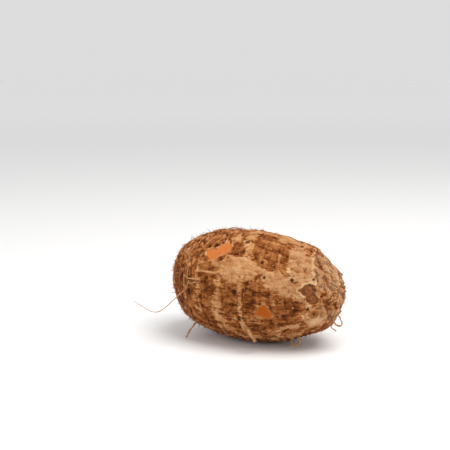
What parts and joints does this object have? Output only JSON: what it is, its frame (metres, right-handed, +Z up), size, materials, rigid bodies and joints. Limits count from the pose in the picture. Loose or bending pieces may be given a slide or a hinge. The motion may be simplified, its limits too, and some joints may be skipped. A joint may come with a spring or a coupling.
{
  "type": "taro corm",
  "caption": "Egg-shaped brown taro corm with leaf rings, bark scars, buds, cut root stubs and thread roots, lying on its side as stored food.",
  "frame": {"origin": "middle of the small flat spot that the corm rests on, on the floor plane", "axes": "+X from the root end to the crown, the corm's length; +Z up; the side that shows in the picture faces -Y"},
  "size_m": [0.1497, 0.0904, 0.0825],
  "materials": {
    "corm": "matte"
  },
  "bodies": {
    "root": {"corm": "corm"}
  },
  "joints": []
}
